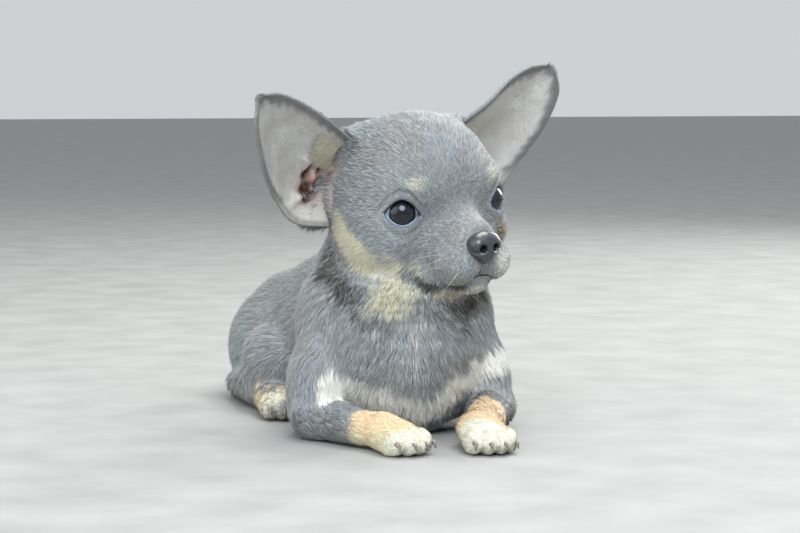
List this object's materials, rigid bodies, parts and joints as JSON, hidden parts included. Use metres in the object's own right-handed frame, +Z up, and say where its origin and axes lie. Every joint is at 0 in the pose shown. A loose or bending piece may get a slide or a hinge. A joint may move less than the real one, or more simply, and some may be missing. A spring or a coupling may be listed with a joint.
{
  "type": "chihuahua puppy",
  "caption": "Life-size model of a smooth-coated chihuahua puppy lying on its belly, forelegs forward, head raised and turned to its left, with large upright ears.",
  "frame": {"origin": "middle of the part's bounding box, on the plane it lies on", "axes": "+Z up; the puppy's forelegs point to -Y and its tail to +Y; +X is its left side"},
  "size_m": [0.1245, 0.2428, 0.1343],
  "materials": {
    "coat": "short, dense, smooth fur, blue-grey with tan and cream points",
    "eye": "wet, clear and dark",
    "nose": "bare, pebbled and moist, slate grey",
    "claw": "smooth horn, pale brown"
  },
  "bodies": {
    "root": {"head": "coat", "neck": "coat", "torso": "coat", "tail": "coat", "ear_left": "coat", "ear_right": "coat", "foreleg_left": "coat", "foreleg_right": "coat", "forepaw_left": "coat", "forepaw_right": "coat", "hindleg_left": "coat", "hindleg_right": "coat", "hindpaw_left": "coat", "hindpaw_right": "coat", "eye_left": "eye", "eye_right": "eye", "nose": "nose"}
  },
  "joints": []
}
